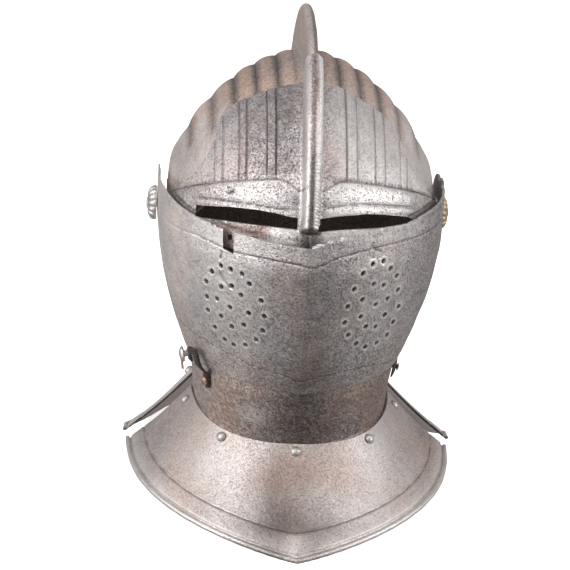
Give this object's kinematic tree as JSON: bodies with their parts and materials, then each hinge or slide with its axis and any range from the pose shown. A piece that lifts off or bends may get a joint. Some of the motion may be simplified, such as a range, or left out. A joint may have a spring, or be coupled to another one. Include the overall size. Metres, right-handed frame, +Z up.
{
  "type": "close helmet",
  "caption": "Hinged plate close helmet with tall comb, sighted visor, pierced ventail, lower bevor and flared neck plates.",
  "frame": {"origin": "centre of the bounding box's base, on the surface the helmet stands on", "axes": "+X to the wearer's left, -Y to the front of the face, +Z up through the crown"},
  "size_m": [0.2522, 0.3342, 0.3536],
  "materials": {
    "skull_steel": "aged steel, brown patina",
    "visor_steel": "worn polished steel with dark pitting",
    "ventail_steel": "aged mottled steel",
    "bevor_steel": "dark aged steel",
    "gorget_steel": "worn steel with rust specks",
    "bright_steel": "rubbed bright steel",
    "brass": "dull yellow metal",
    "dark_iron": "blackened iron",
    "rusty_iron": "rusty iron"
  },
  "bodies": {
    "skull_body": {"skull": "skull_steel", "gorget_rear": "gorget_steel", "pivot_left": "brass", "pivot_right": "bright_steel", "rivet_rear_centre": "bright_steel", "rivet_rear_left_inner": "bright_steel", "rivet_rear_right_inner": "bright_steel", "rivet_rear_left_outer": "bright_steel", "rivet_rear_right_outer": "bright_steel"},
    "bevor_body": {"lower_bevor": "bevor_steel", "gorget_front": "gorget_steel", "rivet_front_centre": "bright_steel", "rivet_front_left_inner": "bright_steel", "rivet_front_right_inner": "bright_steel", "rivet_front_left_outer": "bright_steel", "rivet_front_right_outer": "bright_steel", "hook_rivet_right": "rusty_iron", "hook_rivet_left": "dark_iron", "side_stud": "bright_steel"},
    "ventail_body": {"ventail": "ventail_steel", "catch_right": "bright_steel", "catch_left": "bright_steel"},
    "visor_body": {"visor": "visor_steel"},
    "hook_right_body": {"hook_right": "dark_iron"},
    "hook_left_body": {"hook_left": "dark_iron"}
  },
  "joints": [
    {"name": "bevor_lift", "type": "hinge", "parent": "skull_body", "child": "bevor_body", "pos_m": [0, 0.016, 0.2024], "axis": [-1, 0, 0], "range_deg": [0, 30]},
    {"name": "ventail_lift", "type": "hinge", "parent": "bevor_body", "child": "ventail_body", "pos_m": [0, 0.016, 0.2024], "axis": [-1, 0, 0], "range_deg": [0, 20]},
    {"name": "visor_lift", "type": "hinge", "parent": "ventail_body", "child": "visor_body", "pos_m": [0, 0.016, 0.2024], "axis": [-1, 0, 0], "range_deg": [0, 30]},
    {"name": "hook_right_turn", "type": "hinge", "parent": "bevor_body", "child": "hook_right_body", "pos_m": [-0.06307, -0.054, 0.0904], "axis": [-0.8744, -0.4742, -0.1029], "range_deg": [-50, 0]},
    {"name": "hook_left_turn", "type": "hinge", "parent": "bevor_body", "child": "hook_left_body", "pos_m": [0.07532, -0.012, 0.0894], "axis": [0.9792, -0.1069, -0.1722], "range_deg": [0, 75]}
  ]
}
